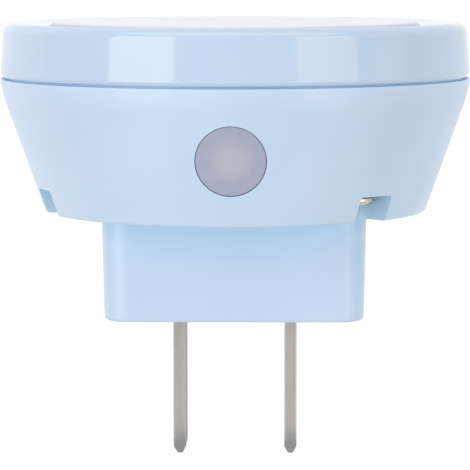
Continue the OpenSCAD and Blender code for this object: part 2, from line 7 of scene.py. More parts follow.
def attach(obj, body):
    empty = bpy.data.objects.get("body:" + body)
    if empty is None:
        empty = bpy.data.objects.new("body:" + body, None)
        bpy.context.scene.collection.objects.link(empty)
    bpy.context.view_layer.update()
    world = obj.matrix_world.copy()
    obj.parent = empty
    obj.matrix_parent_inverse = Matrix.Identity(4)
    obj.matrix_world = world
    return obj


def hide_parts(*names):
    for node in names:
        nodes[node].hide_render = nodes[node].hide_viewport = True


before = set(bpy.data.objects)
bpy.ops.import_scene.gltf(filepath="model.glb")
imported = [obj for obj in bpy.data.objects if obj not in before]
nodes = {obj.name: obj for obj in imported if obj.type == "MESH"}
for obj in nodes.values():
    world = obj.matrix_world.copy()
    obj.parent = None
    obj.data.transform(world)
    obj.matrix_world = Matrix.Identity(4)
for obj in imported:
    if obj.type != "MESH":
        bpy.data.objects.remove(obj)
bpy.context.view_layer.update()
mm = 0.001
print("frame loaded:", len(nodes), "nodes")


# Camera. It looks down on the light from its sensor side, with the lit face at the top of the view.
cameraLook = {
    "lens": 215.22,  # mm
    "sensor": 36,  # mm
    "clip": (0.01, 20),  # m
    "distance": 321.3,  # mm above the light's axis
    "beyondWall": 42.39,  # mm from the wall plane towards the lit face
    "tilt": 5.974,  # degrees towards the blades
    "turn": 1.15,  # degrees round the light's axis
    "pan": 0.00624,  # degrees
    "roll": -0.065,  # degrees
}


def placeCamera(look):
    data = bpy.data.cameras.new("camera")
    data.lens = look["lens"]
    data.sensor_width = look["sensor"]
    data.clip_start, data.clip_end = look["clip"]
    camera = bpy.data.objects.new("camera", data)
    bpy.context.scene.collection.objects.link(camera)
    tilt = math.radians(look["tilt"])
    forward = Vector((0, math.sin(tilt), -math.cos(tilt)))
    up = Vector((0, -math.cos(tilt), -math.sin(tilt)))
    side = forward.cross(up)
    aim = Matrix((side, up, -forward)).transposed().to_4x4()
    place = Matrix.Translation(Vector((0, -look["beyondWall"], look["distance"])) * mm)
    turn = Matrix.Rotation(math.radians(-look["turn"]), 4, "Y")
    pan = Matrix.Rotation(math.radians(look["pan"]), 4, "Y")
    roll = Matrix.Rotation(math.radians(look["roll"]), 4, "Z")
    camera.matrix_world = turn @ place @ aim @ pan @ roll
    bpy.context.scene.camera = camera


placeCamera(cameraLook)
print("camera placed")


# Floor, room and lamps
studioLook = {
    "floorDepth": 300,  # mm below the light's axis
    "floorReach": 6000,  # mm to each side
    "floorColour": (0.8, 0.8, 0.8, 1),
    "floorLift": 0.27,  # how much whiter the floor looks, both straight and in reflections
    "roomColour": (1, 1, 1, 1),
    "roomLight": 0.59,  # how strongly the room lights the object
    "roomLook": 0.75,  # how bright the room looks, both straight and in reflections
    "lampDistance": 900,  # mm
}
lampLooks = {
    # across: degrees from straight above. along: degrees from the wall's plane towards the lit face.
    "leftBox": {"across": 44.5, "along": 0, "width": 533, "height": 1150, "strength": 1.95},
    "rightBox": {"across": -45.6, "along": 0, "width": 494, "height": 1150, "strength": 1.15},
    "front": {"across": 0, "along": 72, "width": 1300, "height": 500, "strength": 1.05},
    "rightEdge": {"across": -80, "along": 0, "width": 300, "height": 1200, "strength": 0.25},
}


def seenRays(tree):
    # 1 for rays that show the background, straight, mirrored or through a clear piece, and else 0
    path = tree.nodes.new("ShaderNodeLightPath")
    seen = path.outputs["Is Camera Ray"]
    for name in ("Is Glossy Ray", "Is Transmission Ray"):
        both = tree.nodes.new("ShaderNodeMath")
        both.operation = "MAXIMUM"
        tree.links.new(seen, both.inputs[0])
        tree.links.new(path.outputs[name], both.inputs[1])
        seen = both.outputs[0]
    return seen


def mixFloorPaint(look):
    paint = bpy.data.materials.new("paleFloor")
    paint.use_nodes = True
    tree = paint.node_tree
    tree.nodes.clear()
    out = tree.nodes.new("ShaderNodeOutputMaterial")
    matt = tree.nodes.new("ShaderNodeBsdfDiffuse")
    matt.inputs["Color"].default_value = look["floorColour"]
    amount = tree.nodes.new("ShaderNodeMath")
    amount.operation = "MULTIPLY"
    amount.inputs[1].default_value = look["floorLift"]
    tree.links.new(seenRays(tree), amount.inputs[0])
    lift = tree.nodes.new("ShaderNodeEmission")
    tree.links.new(amount.outputs[0], lift.inputs["Strength"])
    add = tree.nodes.new("ShaderNodeAddShader")
    tree.links.new(matt.outputs[0], add.inputs[0])
    tree.links.new(lift.outputs[0], add.inputs[1])
    tree.links.new(add.outputs[0], out.inputs["Surface"])
    return paint


def layFloor(look):
    bm = bmesh.new()
    bmesh.ops.create_grid(bm, x_segments=8, y_segments=8, size=look["floorReach"] * mm)
    mesh = bpy.data.meshes.new("floor")
    bm.to_mesh(mesh)
    bm.free()
    mesh.materials.append(mixFloorPaint(look))
    floor = bpy.data.objects.new("floor", mesh)
    floor.location.z = -look["floorDepth"] * mm
    bpy.context.scene.collection.objects.link(floor)


def lightRoom(look):
    world = bpy.data.worlds.new("room")
    bpy.context.scene.world = world
    world.use_nodes = True
    tree = world.node_tree
    tree.nodes.clear()
    out = tree.nodes.new("ShaderNodeOutputWorld")
    back = tree.nodes.new("ShaderNodeBackground")
    back.inputs["Color"].default_value = look["roomColour"]
    mix = tree.nodes.new("ShaderNodeMix")
    mix.inputs["A"].default_value = look["roomLight"]
    mix.inputs["B"].default_value = look["roomLook"]
    tree.links.new(seenRays(tree), mix.inputs["Factor"])
    tree.links.new(mix.outputs["Result"], back.inputs["Strength"])
    tree.links.new(back.outputs[0], out.inputs["Surface"])


def hangLamp(name, look, distance):
    data = bpy.data.lights.new(name, "AREA")
    data.shape = "RECTANGLE"
    data.size = look["width"] * mm
    data.size_y = look["height"] * mm
    # the power that gives the lamp's face this brightness, where 1 is white
    data.energy = look["strength"] * math.pi * data.size * data.size_y
    lamp = bpy.data.objects.new(name, data)
    bpy.context.scene.collection.objects.link(lamp)
    across, along = math.radians(look["across"]), math.radians(look["along"])
    level = math.cos(along)
    way = Vector((math.sin(across) * level, -math.sin(along), math.cos(across) * level))
    width = Vector((way.z, 0, -way.x)).normalized()
    turn = Matrix((width, way.cross(width), way)).transposed().to_4x4()
    lamp.matrix_world = Matrix.Translation(way * distance * mm) @ turn
    lamp.visible_camera = False


bpy.context.scene.view_settings.view_transform = "Standard"
layFloor(studioLook)
lightRoom(studioLook)
for lampName, lampLook in lampLooks.items():
    hangLamp(lampName, lampLook, studioLook["lampDistance"])
print("floor and lamps set")


# Finishes. Grain and mottle are sizes in mm, and each pair runs from its low to its high value.
finishLooks = {
    # satinBlue's recess colour is painted shade, a deeper blue in corners and recesses
    "satinBlue": {"colours": ((0.565, 0.71, 0.885), (0.585, 0.73, 0.905)), "mottle": 9,
                  "roughness": (0.28, 0.34), "grain": 0.16, "depth": 0.1,
                  "recessShadeColour": (0.52, 0.8, 1), "recessShadeReach": 7},
    "glossBlue": {"colours": ((0.51, 0.663, 0.855), (0.525, 0.68, 0.87)), "mottle": 14,
                  "roughness": (0.08, 0.13), "grain": 3.5, "depth": 0.01,
                  "gloss": 0.9, "glossTint": (1, 0.8, 0.5)},
    "frostedWhite": {"colours": ((0.83, 0.84, 0.905), (0.86, 0.87, 0.925)), "mottle": 6,
                     "roughness": (0.3, 0.38), "grain": 0.12, "depth": 0.15},
    # satinNickel's tip colour is painted shade on the blades' last few mm
    "satinNickel": {"colours": ((0.5, 0.472, 0.438), (0.565, 0.535, 0.502)), "mottle": 1.2,
                    "roughness": (0.27, 0.4), "grain": 0.09, "depth": 0.2,
                    "metallic": 1, "stretch": (1, 0.04, 1), "glossTint": (0.45, 0.45, 0.45),
                    "tipShadeColour": (0.375, 0.375, 0.375), "tipShadeFrom": (12.3, 15)},
    "brightNickel": {"colours": ((0.46, 0.43, 0.37), (0.72, 0.68, 0.58)), "mottle": 0.7,
                     "roughness": (0.2, 0.3), "grain": 0.2, "depth": 0.1, "metallic": 1},
    "zincPlate": {"colours": ((0.58, 0.59, 0.6), (0.7, 0.71, 0.72)), "mottle": 0.8,
                  "roughness": (0.25, 0.4), "grain": 0.2, "depth": 0.1, "metallic": 1},
    "tinnedWire": {"colours": ((0.7, 0.7, 0.69), (0.8, 0.8, 0.79)), "mottle": 0.5,
                   "roughness": (0.2, 0.35), "grain": 0.3, "depth": 0.1, "metallic": 1},
    "whiteMoulded": {"colours": ((0.82, 0.82, 0.8), (0.86, 0.86, 0.85)), "mottle": 5,
                     "roughness": (0.4, 0.5), "grain": 0.2, "depth": 0.1},
    "blackMoulded": {"colours": ((0.025, 0.025, 0.03), (0.04, 0.04, 0.045)), "mottle": 2,
                     "roughness": (0.45, 0.6), "grain": 0.12, "depth": 0.2},
    "cellCeramic": {"colours": ((0.62, 0.36, 0.2), (0.78, 0.55, 0.33)), "mottle": 0.6,
                    "roughness": (0.5, 0.7), "grain": 0.1, "depth": 0.2},
    "boardCoat": {"colours": ((0.03, 0.24, 0.1), (0.06, 0.33, 0.15)), "mottle": 1.6,
                  "roughness": (0.25, 0.35), "grain": 0.25, "depth": 0.15},
    "emitterGel": {"colours": ((0.86, 0.68, 0.18), (0.92, 0.8, 0.3)), "mottle": 1,
                   "roughness": (0.3, 0.45), "grain": 0.1, "depth": 0.15},
    "dippedOrange": {"colours": ((0.58, 0.24, 0.05), (0.68, 0.33, 0.09)), "mottle": 3,
                     "roughness": (0.2, 0.32), "grain": 0.8, "depth": 0.15},
    "shrunkSleeve": {"colours": ((0.02, 0.04, 0.17), (0.035, 0.06, 0.22)), "mottle": 4,
                     "roughness": (0.2, 0.3), "grain": 0.5, "depth": 0.1},
    "coatedTan": {"colours": ((0.5, 0.37, 0.2), (0.6, 0.46, 0.28)), "mottle": 1.2,
                  "roughness": (0.45, 0.6), "grain": 0.15, "depth": 0.2},
    "blackWire": {"colours": ((0.02, 0.02, 0.02), (0.035, 0.035, 0.035)), "mottle": 2,
                  "roughness": (0.4, 0.5), "grain": 0.3, "depth": 0.1},
    "redWire": {"colours": ((0.45, 0.03, 0.03), (0.55, 0.05, 0.04)), "mottle": 2,
                "roughness": (0.4, 0.5), "grain": 0.3, "depth": 0.1},
}
bumpShare = 0.25  # height of the grain's bumps, as a share of its size


def objectPlace(tree):
    return tree.nodes.new("ShaderNodeTexCoord").outputs["Object"]


def stretchedPlace(tree, stretch):
    mapping = tree.nodes.new("ShaderNodeMapping")
    mapping.inputs["Scale"].default_value = stretch
    tree.links.new(objectPlace(tree), mapping.inputs["Vector"])
    return mapping.outputs["Vector"]


def noise(tree, place, size, roughness=0.5):
    texture = tree.nodes.new("ShaderNodeTexNoise")
    texture.inputs["Scale"].default_value = 1 / (size * mm)
    texture.inputs["Detail"].default_value = 3
    texture.inputs["Roughness"].default_value = roughness
    tree.links.new(place, texture.inputs["Vector"])
    return texture.outputs["Fac"]


def ranged(tree, value, low, high, fromLow=0.3, fromHigh=0.7):
    step = tree.nodes.new("ShaderNodeMapRange")
    step.interpolation_type = "SMOOTHSTEP"
    step.inputs["From Min"].default_value = fromLow
    step.inputs["From Max"].default_value = fromHigh
    step.inputs["To Min"].default_value = low
    step.inputs["To Max"].default_value = high
    tree.links.new(value, step.inputs["Value"])
    return step.outputs["Result"]


def blended(tree, factor, first, second):
    # first and second are colours or sockets
    mix = tree.nodes.new("ShaderNodeMix")
    mix.data_type = "RGBA"
    tree.links.new(factor, mix.inputs["Factor"])
    for name, colour in (("A", first), ("B", second)):
        socket = next(s for s in mix.inputs if s.name == name and s.type == "RGBA")
        if isinstance(colour, tuple):
            socket.default_value = (*colour, 1)
        else:
            tree.links.new(colour, socket)
    return next(s for s in mix.outputs if s.type == "RGBA")


def paintRecessShade(tree, colour, look):
    # painted shade: the colour is mixed towards a deeper blue in corners and recesses, by how closed in
    # they are, standing in for the light that comes through the plastic there
    corners = tree.nodes.new("ShaderNodeAmbientOcclusion")
    corners.samples = 8
    corners.only_local = True
    corners.inputs["Distance"].default_value = look["recessShadeReach"] * mm
    return blended(tree, corners.outputs["AO"], look["recessShadeColour"], colour)


def paintTipShade(tree, colour, look):
    # painted shade: the blades are painted darker towards their tips, between two distances behind the wall
    # plane
    along = tree.nodes.new("ShaderNodeSeparateXYZ")
    tree.links.new(objectPlace(tree), along.inputs[0])
    first, last = look["tipShadeFrom"]
    reach = ranged(tree, along.outputs["Y"], 0, 1, first * mm, last * mm)
    return blended(tree, reach, colour, look["tipShadeColour"])


def makeFinish(name, look):
    material = bpy.data.materials.new(name)
    material.use_nodes = True
    tree = material.node_tree
    shader = tree.nodes["Principled BSDF"]
    place = stretchedPlace(tree, look["stretch"]) if "stretch" in look else objectPlace(tree)
    colour = blended(tree, ranged(tree, noise(tree, place, look["mottle"]), 0, 1), *look["colours"])
    # painted shade in corners and recesses, for finishes that have a recess colour
    if "recessShadeColour" in look:
        colour = paintRecessShade(tree, colour, look)
    # painted shade towards the blades' tips
    if "tipShadeColour" in look:
        colour = paintTipShade(tree, colour, look)
    tree.links.new(colour, shader.inputs["Base Color"])
    grain = noise(tree, place, look["grain"], roughness=0.6)
    tree.links.new(ranged(tree, grain, *look["roughness"]), shader.inputs["Roughness"])
    bump = tree.nodes.new("ShaderNodeBump")
    bump.inputs["Strength"].default_value = look["depth"]
    bump.inputs["Distance"].default_value = look["grain"] * bumpShare * mm
    tree.links.new(grain, bump.inputs["Height"])
    tree.links.new(bump.outputs["Normal"], shader.inputs["Normal"])
    shader.inputs["Metallic"].default_value = look.get("metallic", 0)
    shader.inputs["Specular IOR Level"].default_value = look.get("gloss", 0.5)
    shader.inputs["Specular Tint"].default_value = (*look.get("glossTint", (1, 1, 1)), 1)
    return material


finishes = {name: makeFinish(name, look) for name, look in finishLooks.items()}
print("finishes mixed:", len(finishes))


# Shared making tools. Pieces are made in mm, with x across, y up towards the sensor and z out from the
# wall towards the lit face, and are then hung the way the light sits on a wall.
hangTurn = Matrix(((1, 0, 0, 0), (0, 0, -1, 0), (0, 1, 0, 0), (0, 0, 0, 1)))
onEdge = Matrix(((0, 0, 1, 0), (1, 0, 0, 0), (0, 1, 0, 0), (0, 0, 0, 1)))  # turns z to x, x to y and y to z
past = 0.5  # how far a cutting form runs past what it cuts
edgeAngle = 30  # degrees, flatter edges aren't rounded
sharpAngle = 32  # degrees, flatter edges are shaded smooth


def circle(steps):
    return [2 * math.pi * k / steps for k in range(steps)]


def arc(r, z, radius, start, end, steps):
    # points round (r, z), between two angles in degrees
    turns = [math.radians(start + (end - start) * i / steps) for i in range(steps + 1)]
    return [(r + radius * math.cos(t), z + radius * math.sin(t)) for t in turns]


def skinRings(bm, rings, closed=False):
    # joins each ring of vertices to the next, where a ring may be a single vertex
    pairs = list(zip(rings, rings[1:]))
    if closed:
        pairs.append((rings[-1], rings[0]))
    for low, high in pairs:
        for k in range(max(len(low), len(high))):
            corners = [low[k % len(low)], low[(k + 1) % len(low)]]
            corners += [high[(k + 1) % len(high)], high[k % len(high)]]
            bm.faces.new(list(dict.fromkeys(corners)))


def turned(profile, steps, closed=False):
    # turns (radius, z) points round the z axis
    bm = bmesh.new()
    rings = []
    for r, z in profile:
        angles = circle(steps) if r > 0 else [0]
        rings.append([bm.verts.new((r * math.cos(a), r * math.sin(a), z)) for a in angles])
    skinRings(bm, rings, closed)
    bmesh.ops.recalc_face_normals(bm, faces=bm.faces)
    return bm


def stacked(outlines):
    # closes a solid over outlines of (x, y, z) points, from the first to the last
    bm = bmesh.new()
    rings = [[bm.verts.new(point) for point in outline] for outline in outlines]
    skinRings(bm, rings)
    bm.faces.new(rings[0])
    bm.faces.new(rings[-1])
    bmesh.ops.recalc_face_normals(bm, faces=bm.faces)
    return bm


def prism(outline, depth):
    # (x, y) points drawn up from z = 0 to z = depth
    return stacked([[(x, y, z) for x, y in outline] for z in (0, depth)])


def draft(name, bm, place=Matrix()):
    mesh = bpy.data.meshes.new(name)
    bm.to_mesh(mesh)
    bm.free()
    mesh.transform(place)
    piece = bpy.data.objects.new(name, mesh)
    bpy.context.scene.collection.objects.link(piece)
    return piece


def slab(name, low, high, place=Matrix()):
    # a block between two corners
    outline = [(low[0], low[1]), (high[0], low[1]), (high[0], high[1]), (low[0], high[1])]
    return draft(name, prism(outline, high[2] - low[2]), place @ Matrix.Translation((0, 0, low[2])))


def rod(name, radius, low, high, place=Matrix(), steps=48):
    return draft(name, turned([(0, low), (radius, low), (radius, high), (0, high)], steps), place)


def atTurn(turn, ring):
    # a place at that distance from the axis, with x pointing outwards
    return Matrix.Rotation(math.radians(turn), 4, "Z") @ Matrix.Translation((ring, 0, 0))


def settle(piece):
    # turns the piece's modifiers into its mesh
    bpy.context.view_layer.update()
    mesh = bpy.data.meshes.new_from_object(piece.evaluated_get(bpy.context.evaluated_depsgraph_get()))
    piece.modifiers.clear()
    piece.data = mesh


def cut(piece, operation, tools):
    for tool in tools:
        step = piece.modifiers.new(tool.name, "BOOLEAN")
        step.operation = operation
        step.solver = "EXACT"
        step.object = tool
    settle(piece)
    for tool in tools:
        bpy.data.objects.remove(tool)


def roundEdges(piece, width, segments):
    edge = piece.modifiers.new("edges", "BEVEL")
    edge.width = width
    edge.segments = segments
    edge.limit_method = "ANGLE"
    edge.angle_limit = math.radians(edgeAngle)
    settle(piece)


def finished(piece, finish, node):
    mesh = piece.data
    mesh.transform(Matrix.Scale(mm, 4) @ hangTurn)
    mesh.shade_smooth()
    mesh.set_sharp_from_angle(angle=math.radians(sharpAngle))
    weigh = piece.modifiers.new("weigh", "WEIGHTED_NORMAL")
    weigh.keep_sharp = True
    settle(piece)
    piece.data.materials.clear()
    piece.data.materials.append(finishes[finish])
    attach(piece, "root")
    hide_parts(node)
    print("made", piece.name, len(piece.data.polygons), "faces")


# The bowl and the plug block, one moulding. The sizes of the window and the blades stand here too,
# because their openings are cut from them. Lengths are in mm.
bowlLook = {
    "baseRadius": 21.75,
    "floorAt": 11.8,  # from the wall plane
    "height": 15.1,
    "lean": 19.6,  # degrees
    "wall": 1.6,
    "floorThickness": 1.8,
    "floorEdge": 0.4,
    "rimRound": 11,
    "rimLean": 5,  # degrees that the side still leans at the rim
    "rimRoundEnd": 7,  # degrees of lean where the rounding stops
    "rimWall": 1.05,
    "rimRecess": 1.1,
    "rimEdge": 0.12,
    "seam": 0.3,  # height of the groove under the ring
    "seamDepth": 0.7,
    "steps": 288,
}
blockLook = {
    "width": 29.2,
    "depth": 21.1,
    "corner": 3,
    "lean": 1.2,  # degrees
    "edge": 0.5,
    "wall": 1.8,
    "endThickness": 2,
    "cornerSteps": 12,
}
notchLook = {
    "turns": (20, 134, 257),  # degrees from the side, towards the sensor
    "width": 4.8,
    "depth": 2.9,
    "corner": 0.3,
    "plate": 1.6,
    "wallAround": 1.4,
    "postRadius": 2.3,
    "postGap": 0.15,
    "screwHole": 3,
}
sensorLook = {
    "rise": 7.3,  # from the bowl's floor
    "hole": 7.7,
    "gap": 0.05,
    "sink": 0.08,
    "edge": 0.12,
    "flange": 9.5,
    "flangeThickness": 0.8,
    "skin": 1,
    "surround": 0.8,
    "shieldSeat": 1.8,
    "loops": 14,
    "steps": 96,
    "openingSteps": 128,
}
boardPostLook = {
    "turns": (60, 120, 270),
    "ring": 13.1,
    "radius": 2.1,
    "belowRim": 1.7,
}
bladeLook = {
    "pitch": 12.7,
    "width": 6.35,
    "thickness": 1.4,
    "length": 16.45,
    "tip": 1.1,
    "tipThickness": 0.45,
    "tipCorner": 2.6,
    "gap": 0.05,
    "shoulder": 9,
    "shoulderHeight": 2.4,
    "tab": 4,
    "tabLength": 5.1,
    "tabHole": 1.5,
    "edge": 0.12,
}
lean = math.radians(bowlLook["lean"])
rimLean = math.radians(bowlLook["rimLean"])
wallAcross = bowlLook["wall"] / math.cos(lean)
rimAt = bowlLook["floorAt"] + bowlLook["height"]
bezelAt = rimAt + bowlLook["seam"]
plateTop = bowlLook["floorAt"] + notchLook["depth"] + notchLook["plate"]
sensorAt = bowlLook["floorAt"] + sensorLook["rise"]


def coneRadius(z):
    return bowlLook["baseRadius"] + (z - bowlLook["floorAt"]) * math.tan(lean)


screwRing = coneRadius(plateTop) - wallAcross - notchLook["postGap"] - notchLook["postRadius"]
notchReach = coneRadius(plateTop) - screwRing + past
seatAt = coneRadius(sensorAt - sensorLook["flange"] / 2) - sensorLook["skin"]
seatBack = seatAt - sensorLook["flangeThickness"] - sensorLook["shieldSeat"]
sensorPlace = Matrix.Translation((0, 0, sensorAt)) @ Matrix.Rotation(math.radians(-90), 4, "X")
rimArcZ = rimAt + bowlLook["rimRound"] * math.sin(rimLean)
rimArcR = bowlLook["baseRadius"] + ((rimArcZ - bowlLook["floorAt"]) * math.sin(lean)
                                    - bowlLook["rimRound"]) / math.cos(lean)
rimRadius = rimArcR + bowlLook["rimRound"] * math.cos(rimLean)


def bowlForm(look):
    bottom, edge, rimEdge = look["floorAt"], look["floorEdge"], look["rimEdge"]
    cornerR = look["baseRadius"] - edge * (1 - math.sin(lean)) / math.cos(lean)
    neck = rimRadius - look["seamDepth"]
    profile = [(0, bottom)] + arc(cornerR, bottom + edge, edge, -90, -look["lean"], steps=6)
    profile += arc(rimArcR, rimArcZ, look["rimRound"], -look["lean"], -look["rimRoundEnd"], steps=10)
    profile += arc(rimRadius - rimEdge, rimAt - rimEdge, rimEdge, 0, 90, steps=5)
    profile += [(neck, rimAt), (neck, bezelAt), (0, bezelAt)]
    return draft("housing", turned(profile, look["steps"]))


def bowlHollow(look):
    # the room inside the bowl, less the notch roofs, the board posts and the window's surround
    recessR, recessZ = rimRadius - look["rimWall"], rimAt - look["rimRecess"]
    inside, top = look["floorAt"] + look["floorThickness"], bezelAt + past
    profile = [(0, inside), (coneRadius(inside) - wallAcross, inside)]
    profile += [(coneRadius(recessZ) - wallAcross, recessZ), (recessR, recessZ), (recessR, top), (0, top)]
    hollow = draft("bowlHollow", turned(profile, look["steps"]))
    low, roof = look["floorAt"], notchLook["width"] / 2 + notchLook["wallAround"]
    forms = []
    for turn in notchLook["turns"]:
        place = atTurn(turn, screwRing)
        forms.append(rod("roof", roof, low, plateTop, place))
        forms.append(slab("roof", (0, -roof, low), (notchReach, roof, plateTop), place))
    postTop = rimAt - boardPostLook["belowRim"]
    for turn in boardPostLook["turns"]:
        place = atTurn(turn, boardPostLook["ring"])
        forms.append(rod("boardPost", boardPostLook["radius"], low, postTop, place))
    surround = sensorLook["flange"] / 2 + sensorLook["surround"]
    forms.append(rod("surround", surround, seatBack, rimRadius, sensorPlace, sensorLook["steps"]))
    cut(hollow, "DIFFERENCE", forms)
    return hollow


def blockOutline(look, inset, offset, z):
    # a rounded rectangle at one height
    corner = look["corner"] - inset + offset
    x, y = look["width"] / 2 - look["corner"], look["depth"] / 2 - look["corner"]
    points = []
    for sx, sy, start in ((1, 1, 0), (-1, 1, 90), (-1, -1, 180), (1, -1, 270)):
        points += arc(sx * x, sy * y, corner, start, start + 90, look["cornerSteps"])
    return [(px, py, z) for px, py in points]


def blockForm(look):
    edge, grow = look["edge"], math.tan(math.radians(look["lean"]))
    top = bowlLook["floorAt"] + bowlLook["floorThickness"] / 2
    levels = [(r - edge, z) for r, z in arc(0, edge, edge, -90, 0, steps=6)] + [(top * grow, top)]
    return stacked([blockOutline(look, 0, offset, z) for offset, z in levels])


def blockHollow(look):
    grow = math.tan(math.radians(look["lean"]))
    top = bowlLook["floorAt"] + bowlLook["floorThickness"] + past
    return stacked([blockOutline(look, look["wall"], z * grow, z) for z in (look["endThickness"], top)])


def notchTools(look):
    # an arched notch under each case screw, and the screw's hole above it
    half, top = look["width"] / 2, bowlLook["floorAt"] + look["depth"]
    low = bowlLook["floorAt"] - 2 * past
    tools = []
    for turn in look["turns"]:
        place = atTurn(turn, screwRing)
        outline = arc(0, 0, half, 90, 270, steps=24) + [(notchReach, -half), (notchReach, half)]
        notch = draft("notch", prism(outline, top - low), Matrix.Translation((0, 0, low)))
        roundEdges(notch, look["corner"], segments=4)
        notch.data.transform(place)
        tools += [notch, rod("hole", look["screwHole"] / 2, top - past, plateTop + past, place)]
    return tools


def sensorTools(look):
    # an opening through the bowl's side, wider behind for the window's flange
    out, inner = rimRadius + 2 * past, seatBack - past
    hole, flange = look["hole"] / 2, look["flange"] / 2 + look["gap"]
    profile = [(0, inner), (flange, inner), (flange, seatAt), (hole, seatAt), (hole, out), (0, out)]
    return [draft("opening", turned(profile, look["openingSteps"]), sensorPlace)]


def slotTools(look):
    wide, thick = look["width"] / 2 + look["gap"], look["thickness"] / 2 + look["gap"]
    middles = [side * look["pitch"] / 2 for side in (-1, 1)]
    return [slab("slot", (x - thick, -wide, -past), (x + thick, wide, blockLook["endThickness"] + past))
            for x in middles]


def makeHousing():
    housing = bowlForm(bowlLook)
    cut(housing, "DIFFERENCE", [bowlHollow(bowlLook)])
    cut(housing, "UNION", [draft("block", blockForm(blockLook))])
    tools = [draft("blockHollow", blockHollow(blockLook))]
    tools += notchTools(notchLook) + sensorTools(sensorLook) + slotTools(bladeLook)
    cut(housing, "DIFFERENCE", tools)
    finished(housing, "satinBlue", "rear_housing")


makeHousing()


# The ring round the lit face, with its skirt and three posts, and the lit face in it
bezelLook = {
    "height": 6,
    "taper": 0.3,
    "shoulder": 1.2,
    "chamferHeight": 0.35,
    "chamferDepth": 0.2,
    "chamferEdge": 0.1,
    "chamferTuck": 0.015,  # how far the wall draws in just above the chamfer
    "dish": 0.32,
    "faceThickness": 1.58,
    "wall": 1.9,
    "skirt": 0.9,
    "skirtReach": 1.2,
    "skirtGap": 0.1,
    "opening": 21.1,
    "openingEdge": 0.12,
    "postEnd": 0.35,
    "web": 2.4,
    "steps": 288,
}
lensLook = {
    "radius": 20.9,
    "proud": 0.44,
    "thickness": 1.7,
    "edge": 0.25,
    "flangeThickness": 1.1,
    "flangeGap": 0.2,
    "wall": 1.3,
    "steps": 256,
}
crestAt = bezelAt + bezelLook["height"]
faceAt = crestAt - bezelLook["dish"]
faceUnder = faceAt - bezelLook["faceThickness"]
bezelInner = rimRadius - bezelLook["wall"]
skirtRadius = rimRadius - bowlLook["rimWall"] - bezelLook["skirtGap"]
skirtEnd = bezelAt - bezelLook["skirtReach"]
flangeUnder = faceUnder - lensLook["flangeThickness"]


def bezelProfile(look):
    opening, lip, shoulder = look["opening"], look["openingEdge"], look["shoulder"]
    high, deep, edge = look["chamferHeight"], look["chamferDepth"], look["chamferEdge"]
    slope = math.hypot(high, deep)
    shelf, skirtIn = bezelAt + look["skirt"], skirtRadius - look["skirt"]
    profile = [(opening, faceUnder), (opening, faceAt - lip), (opening + lip, faceAt)]
    profile += arc(rimRadius - look["taper"] - shoulder, crestAt - shoulder, shoulder, 90, 0, steps=12)
    profile += [(rimRadius, bezelAt + high + edge), (rimRadius - look["chamferTuck"], bezelAt + high)]
    profile += [(rimRadius - edge * deep / slope, bezelAt + high - edge * high / slope)]
    profile += [(rimRadius - deep, bezelAt), (skirtRadius, bezelAt), (skirtRadius, skirtEnd)]
    profile += [(skirtIn, skirtEnd), (skirtIn, shelf), (bezelInner, shelf), (bezelInner, faceUnder)]
    return profile


def makeBezel(look):
    bezel = draft("bezel", turned(bezelProfile(look), look["steps"], closed=True))
    top = flangeUnder - look["postEnd"]
    webEnd = skirtRadius - look["skirt"] / 2 - screwRing
    for turn in notchLook["turns"]:
        place = atTurn(turn, screwRing)
        post = rod("post", notchLook["postRadius"], plateTop, top, place)
        web = slab("web", (0, -look["web"] / 2, skirtEnd), (webEnd, look["web"] / 2, top), place)
        cut(post, "UNION", [web])
        cut(bezel, "UNION", [post])
    finished(bezel, "glossBlue", "front_bezel")


def makeLens(look):
    r, top, edge = look["radius"], faceAt + look["proud"], look["edge"]
    flange, inner, under = bezelInner - look["flangeGap"], r - look["wall"], top - look["thickness"]
    profile = [(0, top), (r / 2, top)] + arc(r - edge, top - edge, edge, 90, 0, steps=6)
    profile += [(r, faceUnder), (flange, faceUnder), (flange, flangeUnder), (inner, flangeUnder)]
    profile += [(inner, under), (0, under)]
    finished(draft("litFace", turned(profile, look["steps"])), "frostedWhite", "lens")


makeBezel(bezelLook)
makeLens(lensLook)


# The round window of the light sensor, frosted, with a paler spot in the middle that is a painted glow, for
# light scattered in the frosted plastic over the photocell
windowLook = {
    "colours": ((0.37, 0.4, 0.52), (0.3922, 0.424, 0.5512)),
    "middle": (0.46, 0.485, 0.56),
    "spot": (0.96, 3.2),  # mm from the middle, where the spot starts to fade and where it is gone
    "mottle": 1.4,
    "roughness": (0.42, 0.52),
    "grain": 0.12,
    "depth": 0.15,
}


def makeWindowFinish(look):
    material = makeFinish("frostedWindow", look)
    tree = material.node_tree
    baseColour = tree.nodes["Principled BSDF"].inputs["Base Color"]
    cloud = baseColour.links[0].from_socket
    away = tree.nodes.new("ShaderNodeVectorMath")
    away.operation = "DISTANCE"
    away.inputs[1].default_value = Vector((0, -sensorAt, coneRadius(sensorAt))) * mm
    tree.links.new(objectPlace(tree), away.inputs[0])
    # painted glow, paler towards the middle of the window
    first, last = look["spot"]
    spot = ranged(tree, away.outputs["Value"], 1, 0, first * mm, last * mm)
    tree.links.new(blended(tree, spot, cloud, look["middle"]), baseColour)
    return material


